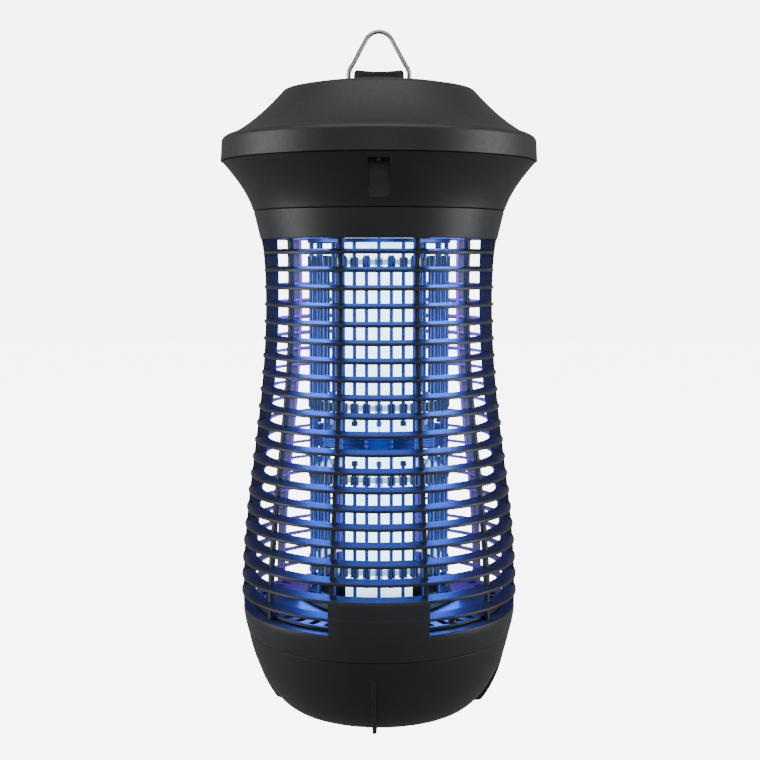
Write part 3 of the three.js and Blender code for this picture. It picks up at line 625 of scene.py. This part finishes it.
def build_screw(node, head_below):
    """A pan-head screw with a cross recess, in the place of its CAD node."""
    low, high = corners(node)
    length = high.z - low.z - SCREW_HEAD
    dome = curve(((1.6, -SCREW_HEAD), (3.0, -2.4), (3.2, -0.4)), 5)
    head = [(0, -SCREW_HEAD), *dome, (3.2, 0), (1.45, 0)]
    threads = []
    for i in range(int(length) - 1):
        threads += [(1.15, 0.6 + i), (1.5, 1.1 + i)]
    outline = [*head, *threads, (1.15, length - 0.3), (0, length)]
    screw = Shape().lathe(outline, 28).made(node.replace("screw", "pan_screw"))
    for turn in (0, math.pi / 2):
        place = Matrix.Rotation(turn, 4, "Z") @ Matrix.Translation((0, 0, -2.8))
        carve(screw, "DIFFERENCE", Shape().plate(rectangle(-1.7, 1.7, -0.4, 0.4), 3.0, place).made("cross"))
    seat = low.z + SCREW_HEAD if head_below else high.z - SCREW_HEAD
    centre = ((low.x + high.x) / 2 * MM, (low.y + high.y) / 2 * MM, seat * MM)
    flip = Matrix.Rotation(0 if head_below else math.pi, 4, "X")
    screw.data.transform(Matrix.Translation(centre) @ flip)
    show(screw, DARK_ZINC, "lantern", "zinc_steel", node)


def build_screws():
    kinds = ((3, "roof_screw", True), (4, "guard_screw", True), (3, "grate_screw", False))
    for count, kind, head_below in kinds:
        for i in range(count):
            build_screw(f"{kind}_{i + 1}", head_below)


# ---- Cage -----------------------------------------------------------------------------------


def guard_radius(z):
    """Outer radius of the cage's rings: a waist under the collar swelling to a belly."""
    waist, waist_z, belly, belly_z, skew = 88.4, SEAT - 56.5, 108.0, SHELF_Z + 10.1, 1.105
    fall = abs((waist_z - z) / (waist_z - belly_z)) ** skew
    return (belly + waist) / 2 - (belly - waist) / 2 * math.cos(math.pi * fall)


def blade_outline(radius, z):
    """A ring's section: a blade that slopes down towards its outer edge."""
    half, inner, high = RING_THICKNESS / 2, radius - RING_WIDTH, z + RING_SLOPE
    section = [(inner, high - half), (radius, z - half), (radius, z + half), (inner, high + half)]
    return rounded(section, 0.7, 3)


def rib_outline(inset, depth, rise):
    """A rib follows the rings' outer edge; its rise brings it out to the collar at the top."""
    low, high, steps = SHELF_Z, COLLAR_BOTTOM + 1.5, 40
    outer, inner = [], []
    for i in range(steps + 1):
        t = i / steps
        z = low + (high - low) * t
        radius = guard_radius(z) - inset
        outer.append((radius + rise * t**16, z))
        inner.append((radius - depth, z))
    return [*outer, *reversed(inner)]


def collar_outline():
    top = SEAT - GAP
    flange = WELL_RADIUS + 1
    return rounded([
        (COLLAR_HOLE, COLLAR_BOTTOM), (COLLAR_LOW_RADIUS, COLLAR_BOTTOM), (COLLAR_TOP_RADIUS, top),
        (flange, top), (flange, top - 3), (COLLAR_TOP_RADIUS - 3.4, top - 3),
        (COLLAR_LOW_RADIUS - 2.2, COLLAR_BOTTOM + 2.8), (COLLAR_HOLE, COLLAR_BOTTOM + 2.8),
    ], 0.8, 3)


def band_face(widest, top):
    """The band's outer face from its lower edge up to its widest part and over to the top."""
    swell, brim = (widest - 1.2, BAND_BOTTOM + 7.2), (widest, BAND_TOP - 3.3)
    lower = curve(((BAND_LOW_RADIUS, BAND_BOTTOM), swell, brim), 12)
    return [*lower, (widest + (top - BAND_TOP) * 0.04, top - 0.6), (widest - 0.6, top)]


def band_outline():
    inner = [
        (SHELF_RADIUS, BAND_TOP), (SHELF_RADIUS, SHELF_Z),
        (BAND_RADIUS - 2.6, SHELF_Z), (BAND_LOW_RADIUS - 2.6, BAND_BOTTOM),
    ]
    return rounded([*band_face(BAND_RADIUS, BAND_TOP), *inner], 1.0, 3, least_turn=25 * DEG)


def front_panel():
    """The blank panel: the band's face carried up to the second ring from the bottom."""
    top = RING_TOP - (RING_COUNT - 2) * RING_PITCH
    swell = curve(((BAND_RADIUS, SHELF_Z), (PANEL_RADIUS, SHELF_Z + 9), (PANEL_RADIUS, top)), 8)
    face = [(BAND_RADIUS, SHELF_Z - 1), *swell]
    outline = rounded([*face, (PANEL_RADIUS - 2.8, top), (PANEL_RADIUS - 4.2, SHELF_Z - 1)], 0.7, 3)
    rows = []
    for i in range(33):
        angle = FRONT_BAY * (i / 16 - 1)
        rows.append([bearing(radius, angle, z) for radius, z in outline])
    panel = Shape()
    ends = panel._grid(rows, False)
    panel.bm.faces.new(ends[0])
    panel.bm.faces.new(ends[-1])
    return panel.made("front_panel")


def build_whole_cage():
    rings = Shape()
    for i in range(RING_COUNT):
        z = RING_TOP - i * RING_PITCH
        rings.lathe(blade_outline(guard_radius(z), z), 160)
    cage = rings.made("cage")
    places = (
        (FRONT_RIB, FRONT_BAY), (FRONT_RIB, MIDDLE_RIB), (SIDE_RIB, math.pi / 2),
        (REAR_RIB, math.pi - MIDDLE_RIB), (REAR_RIB, math.pi - FRONT_BAY),
    )
    ribs = Shape()
    for rib, angle in places:
        for turn in (angle, -angle):
            ribs.plate(rib_outline(*rib), RIB_THICKNESS, radial(turn), 0.6, 2)
    ends = Shape().lathe(collar_outline(), 160).lathe(band_outline(), 160)
    ledges = Shape()
    for angle in evenly(3, math.pi / 3 + FIN_TURN):
        ledge = ring_sector(SPIGOT_RADIUS + 1.3, BAND_LOW_RADIUS - 0.9, 52.5 * DEG, angle, 48)
        ledges.plate(ledge, 1.6, Matrix.Translation((0, 0, TRAY_SEAM + 3.8)), 0.2, 1)
    for part in (ribs.made("ribs"), ends.made("ends"), front_panel(), ledges.made("ledges")):
        carve(cage, "UNION", part)
    return cage


def build_cage():
    """The cage is moulded in two halves that meet at the side ribs."""
    front = build_whole_cage()
    rear = bpy.data.objects.new("cage_rear_half", front.data.copy())
    bpy.context.scene.collection.objects.link(rear)
    front.name = "cage_front_half"
    reach = PANEL_RADIUS + 5
    for half, side, node in ((front, -1, "cage_front"), (rear, 1, "cage_rear")):
        y0, y1 = sorted((side * PARTING / 2, side * reach))
        space = Shape().block((-reach, y0, BAND_BOTTOM - 5), (reach, y1, SEAT + 5), bevel=0)
        carve(half, "INTERSECT", space.made("space"))
        show(half, CAGE_PLASTIC_PAINTED_BLUE, "lantern", "black_plastic", node)


# ---- Base -----------------------------------------------------------------------------------


def build_grate():
    """Slotted floor: radial slots near its rim that dead insects fall through."""
    section = rectangle(GRATE_HOLE, GRATE_RADIUS, GRATE_BOTTOM, GRATE_TOP)
    grate = Shape().lathe(rounded(section, 0.5, 3), 144).made("slotted_floor")
    half = SLOT_WIDTH / 2
    slot = rounded(rectangle(SLOT_NEAR, SLOT_FAR, -half, half), 1.2, 3)
    cuts = Shape()
    for angle in evenly(GRATE_SLOTS):
        cuts.plate(slot, 8, spun(angle) @ Matrix.Translation((0, 0, GRATE_BOTTOM + 1)))
    carve(grate, "DIFFERENCE", cuts.made("slots"))
    holes = Shape()
    for angle in evenly(3, 36 * DEG):
        foot = bearing(GRATE_SCREW_RADIUS, angle, GRATE_BOTTOM - 2)
        holes.sweep([foot, foot + Vector((0, 0, 8))], 1.9, 16)
    carve(grate, "DIFFERENCE", holes.made("holes"))
    soften(grate, 0.3)
    show(grate, CAGE_PLASTIC_PAINTED_BLUE, "lantern", "black_plastic", "drop_grate")


def build_lamp_cup():
    low, high = corners("lower_lamp_cup")
    floor, radius, flange, rim = low.z, GRATE_HOLE - 0.8, GRATE_HOLE + 3.8, GRATE_TOP + GAP
    outline = rounded([
        (0, floor), (radius, floor), (radius, rim), (flange, rim), (flange, rim + 2),
        (radius - 2.5, rim + 2), (radius - 2.5, floor + 2.5), (0, floor + 2.5),
    ], 0.8, 3, closed=False)
    cup = Shape().lathe(outline, 96).made("lamp_cup")
    cheeks = Shape()
    for x0, x1 in ((27, 33.5), (-33.5, -27)):
        cheeks.block((x0, -16, floor + 1), (x1, 16, high.z), bevel=1.2, steps=3)
    carve(cup, "UNION", cheeks.made("cheeks"))
    show(cup, CAGE_PLASTIC_PAINTED_BLUE, "lantern", "black_plastic", "lower_lamp_cup")


# ---- Lamps and live grid --------------------------------------------------------------------


def build_tubes():
    """Glass tubes, necked in slightly where they enter their caps."""
    for side in ("left", "right"):
        low, high = corners(f"uv_tube_{side}")
        radius, neck = (high.x - low.x) / 2, (high.x - low.x) / 2 - 0.5
        swell = curve(((neck, 0), (neck + 0.1, 1.4), (radius, 1.6), (radius, 4)), 6)
        foot = [(r, low.z + along) for r, along in swell]
        head = [(r, high.z - along) for r, along in reversed(swell)]
        outline = [(neck - 0.3, low.z), *foot, *head, (neck - 0.3, high.z)]
        tube = Shape().lathe(outline, 48).made(f"lit_tube_{side}")
        tube.data.transform(Matrix.Translation(((low.x + high.x) / 2 * MM, 0, 0)))
        tube.visible_diffuse = False
        tube.visible_glossy = False
        show(tube, TUBE_LIGHT, "lantern", "uv_glass", f"uv_tube_{side}")


def add_hoop(shape, inner, outer, low, high, corner=0.4):
    shape.lathe(rounded(rectangle(inner, outer, low, high), corner, 3), 144)


def add_wire(shape, angle, low, high, bead):
    """An upright wire with a squared bead at one height."""
    shape.sweep([bearing(GRID_RADIUS, angle, z) for z in (low, high)], GRID_WIRE, 12)
    half = 1.9
    place = spun(angle) @ Matrix.Translation((GRID_RADIUS, 0, bead))
    shape.block((-half, -half, -half), (half, half, half), place, 0.4, 2)


def ridged_band(low, high):
    """The middle band's section: a strip with three rolled ridges."""
    inner, outer, steps = GRID_RADIUS - 1.0, GRID_RADIUS + 1.1, 36
    face = []
    for i in range(steps + 1):
        ridge = 0.5 * math.cos(3 * TAU * (i / steps - 0.5))
        face.append((outer + ridge, low + (high - low) * i / steps))
    return [(inner, low), *face, (inner, high)]


def build_end_electrodes():
    """The top and bottom hoops, whose wires stop short of the middle band."""
    for name, low, high, hoop_z, tip in (
        ("top", upper_low.z, upper_high.z - 1.5, upper_high.z - 1.5, upper_low.z + 1.9),
        ("bottom", lower_low.z + 1.5, lower_high.z, lower_low.z + 1.5, lower_high.z - 1.9),
    ):
        shape = Shape()
        add_hoop(shape, GRID_RADIUS - 2.2, GRID_RADIUS + 2.2, hoop_z - 1.5, hoop_z + 1.5)
        for angle in evenly(GRID_PAIRS):
            add_wire(shape, angle, low, high, tip)
        obj = shape.made(f"live_wires_{name}")
        show(obj, GRID_STEEL_PAINTED_BLUE, "lantern", "grid_steel", f"grid_{name}_electrode")


def build_middle_electrode():
    """The ridged band and its wires, which end in flared nubs at the top and beads at the bottom."""
    middle = Shape().lathe(ridged_band(lower_high.z + SPARK_GAP, upper_low.z - SPARK_GAP), 144)
    top = middle_high.z
    for angle in evenly(GRID_PAIRS, math.pi / GRID_PAIRS):
        add_wire(middle, angle, middle_low.z, top, middle_low.z + 1.9)
        nub = [bearing(GRID_RADIUS, angle, z) for z in (top - 8.7, top - 3, top)]
        middle.sweep(nub, [1.5, 2.4, 2.4], 12)
    obj = middle.made("live_wires_middle")
    show(obj, GRID_STEEL_PAINTED_BLUE, "lantern", "grid_steel", "grid_middle_electrode")


def build_spacers():
    """Toothed rings: a hoop inside the wires, with a pair of jaws around each wire."""
    for i in range(4):
        low, high = corners(f"grid_spacer_{i + 1}")
        shape = Shape()
        add_hoop(shape, 46.5, high.x, low.z, high.z)
        for angle in evenly(2 * GRID_PAIRS):
            for side in (-1, 1):
                x0, x1 = sorted((side * 1.6, side * 2.7))
                jaw = (x0, -GRID_RADIUS - 2.2, low.z - 1.6), (x1, -high.x + 0.4, high.z + 1.6)
                shape.block(*jaw, Matrix.Rotation(angle, 4, "Z"), 0.3, 1)
        ring = shape.made(f"toothed_ring_{i + 1}")
        show(ring, SPACER_PAINTED_GLOW, "lantern", "insulator", f"grid_spacer_{i + 1}")


def build_end_insulators():
    for name, inner in (("top", 46.5), ("bottom", 47)):
        low, high = corners(f"grid_{name}_insulator")
        shape = Shape()
        add_hoop(shape, inner, high.x, low.z, high.z, 0.8)
        show(shape.made(f"end_ring_{name}"), INSULATOR, "lantern", "insulator", f"grid_{name}_insulator")


# ---- Collecting tray ------------------------------------------------------------------------


def bowl_outline(inset):
    """The bowl's side from its flat floor to the seam, moved inwards by the inset."""
    floor, steps = 0.4, 24
    controls = [(65, floor), (77, floor), (TRAY_RIM - 6.5, floor + 24.5), (TRAY_RIM, TRAY_SEAM)]
    made = []
    for i, (radius, z) in enumerate(curve(controls, steps)):
        steepness = math.pi / 2 * i / steps
        made.append((radius - inset * math.sin(steepness), z + inset * math.cos(steepness)))
    return made


def fin_outline():
    """A crescent that starts flush with the bowl below the seam and ends in a flat foot."""
    foot_inner, foot_outer, floor = 66.0, 76.0, 0.4
    heel = (foot_outer + 5.6, 1.2)
    toe = curve(((foot_outer, 0), (foot_outer + 4, 0), heel), 5)
    top = TRAY_SEAM - 13.5
    flank = curve((heel, (TRAY_RIM - 7, 19.9), (TRAY_RIM - 3.1, top)), 12)
    return [(foot_inner - 6, floor + 0.5), (foot_inner, 0), *toe, *flank[1:], (60, top)]


def build_tray():
    inner = [p for p in bowl_outline(TRAY_WALL) if p[1] < TRAY_SEAM - 6]
    spigot_inner = SPIGOT_RADIUS - 2.4
    bowl = [(0, inner[0][1]), *inner, (spigot_inner, TRAY_SEAM - 3)]
    rim = [
        (TRAY_RIM, TRAY_SEAM), (SPIGOT_RADIUS, TRAY_SEAM),
        (SPIGOT_RADIUS, SPIGOT_TOP), (spigot_inner, SPIGOT_TOP),
    ]
    outer = bowl_outline(0)
    wall = [(0, outer[0][1]), *outer[:-1], *rim, *reversed(bowl)]
    wall = rounded(wall, 0.7, 3, closed=False, least_turn=30 * DEG)
    tray = Shape().lathe(wall, 160).made("footed_tray")
    fins = Shape()
    for angle in evenly(4, FIN_TURN):
        fins.plate(fin_outline(), 3.0, radial(angle), 0.9, 3)
    trimmed = fins.made("fins")
    cavity = Shape().lathe([*bowl, (spigot_inner, TRAY_SEAM + 1), (0, TRAY_SEAM + 1)], 160)
    carve(trimmed, "DIFFERENCE", cavity.made("cavity"))
    carve(tray, "UNION", trimmed)
    lugs = Shape()
    for angle in evenly(3, FIN_TURN):
        lug = ring_sector(SPIGOT_RADIUS - 1, SPIGOT_RADIUS + 2.6, 5 * DEG, angle, 6)
        lugs.plate(lug, 2.0, Matrix.Translation((0, 0, TRAY_SEAM + 6)), 0.3, 2)
    carve(tray, "UNION", lugs.made("lugs"))
    show(tray, PLASTIC, "tray", "black_plastic", "collecting_tray")


def build_seal():
    low, high = corners("tray_seal")
    seal = Shape()
    add_hoop(seal, SPIGOT_RADIUS + 0.4, high.x, low.z, high.z, 0.6)
    show(seal.made("bedding_ring"), RUBBER, "seal", "seal_rubber", "tray_seal")


# ---- CAD nodes that stay --------------------------------------------------------------------


def dress_cad_nodes():
    """Materials for the inner pieces that keep their CAD shape."""
    looks = {
        "tube_cap_": CAP_METAL, "lamp_holder_": INSULATOR, "lamp_bridge": ZINC, "ballast_board": BOARD,
        "transformer_core": ZINC, "transformer_coil_": TAPE, "film_capacitor_": CASE,
        "electrolytic_capacitor": CASE, "terminal_block": INSULATOR, "gland_locknut": PLASTIC,
    }
    for name, obj in frame["nodes"].items():
        for start, material in looks.items():
            if name.startswith(start):
                obj.data.materials.clear()
                obj.data.materials.append(material)


# ---- Stage ----------------------------------------------------------------------------------


def area_light(name, place, target, size, energy, colour=(1.0, 1.0, 1.0)):
    """A rectangular light that shines on a target and stays out of the picture itself."""
    data = bpy.data.lights.new(name, "AREA")
    data.shape = "RECTANGLE"
    data.size, data.size_y = size
    data.energy = energy
    data.color = colour
    light = bpy.data.objects.new(name, data)
    light.location = place
    light.rotation_euler = (Vector(target) - Vector(place)).to_track_quat("-Z", "Y").to_euler()
    light.visible_camera = False
    bpy.context.scene.collection.objects.link(light)


def build_floor():
    """A pale paper floor below the hanging lantern, which lights nothing."""
    reach, thickness = 6000, 10
    middle = Matrix.Translation((0, 0, FLOOR_Z - thickness / 2))
    floor = Shape().plate(rectangle(-reach, reach, -reach, reach), thickness, middle).made("floor")
    paper = Nodes("floor_paper", Roughness=0.7, Emission_Strength=FLOOR_GLOW)
    shade = paper.ramp(paper.noise(30.0), [(0.3, grey(0.8)), (0.7, grey(0.82))])
    paper.feed(shade, "Base Color")
    paper.feed(shade, "Emission Color")
    floor.data.materials.append(paper.material)
    floor.visible_diffuse = False
    floor.visible_glossy = False


def build_world():
    """A white surround to look at, and a dim one to light by."""
    world = bpy.data.worlds.new("studio")
    world.use_nodes = True
    tree = world.node_tree
    seen = tree.nodes.new("ShaderNodeLightPath").outputs["Is Camera Ray"]
    choose = tree.nodes.new("ShaderNodeMapRange")
    choose.inputs["To Min"].default_value = WORLD_LIGHT
    choose.inputs["To Max"].default_value = WORLD_SEEN
    tree.links.new(seen, choose.inputs["Value"])
    background = tree.nodes["Background"]
    background.inputs["Color"].default_value = (1.0, 1.0, 1.0, 1.0)
    tree.links.new(choose.outputs["Result"], background.inputs["Strength"])
    bpy.context.scene.world = world


def build_lights():
    """Two softboxes square to the sides, a soft one overhead, and the tubes' glow in the cage."""
    for side in (-1, 1):
        area_light(f"side_{side}", (side * 1.6, -0.25, 0.45), (0, 0, 0.3), (0.9, 1.4), 26)
    area_light("overhead", (0, -0.5, 2.2), (0, 0, 0.4), (2.4, 1.6), 34)
    area_light("front_fill", (0, -2.4, 0.7), (0, 0, 0.35), (1.6, 1.0), 7)
    build_glow()


def build_glow():
    """The tubes' light: outwards from the grid to the cage, and back from the cage to the wires."""
    low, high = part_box("uv_tube_left")
    middle, tall = (low.z + high.z) / 2, high.z - low.z - 0.02
    axis, near_grid, near_cage = Vector((0, 0, middle)), 0.058, 0.076
    blue, violet, returned_blue = (0.04, 0.13, 1.0), (0.2, 0.1, 1.0), (0.05, 0.2, 1.0)
    energies = (0.25, 0.8, 1.8, 1.2, 1.8, 0.8)
    for i, (angle, energy) in enumerate(zip(evenly(6), energies)):
        colour = blue if math.cos(angle) > 0 else violet
        place, target = bearing(near_grid, angle, middle), bearing(1, angle, middle)
        area_light(f"glow_{i}", place, target, (0.05, tall), energy, colour)
    for i, angle in enumerate((0, MIDDLE_RIB, -MIDDLE_RIB)):
        place = bearing(near_cage, angle, middle)
        area_light(f"returned_{i}", place, axis, (0.03, tall), 0.04, returned_blue)


def build_camera():
    """About a metre in front of the lantern, looking down a little."""
    lens, tilt = 62.07, 5.274
    data = bpy.data.cameras.new("camera")
    data.sensor_width = 36.0
    data.lens = lens
    data.clip_start = 0.01
    camera = bpy.data.objects.new("camera", data)
    camera.location = (0.0008, -1.0187, 0.3495)
    camera.rotation_euler = ((90 - tilt) * DEG, 0, 0)
    bpy.context.scene.collection.objects.link(camera)
    bpy.context.scene.camera = camera


build_camera()
build_roof()
build_bail()
build_housing()
build_gland()
build_screws()
build_cage()
build_grate()
build_lamp_cup()
build_tubes()
build_end_electrodes()
build_middle_electrode()
build_spacers()
build_end_insulators()
build_tray()
build_seal()
dress_cad_nodes()
build_floor()
build_world()
build_lights()
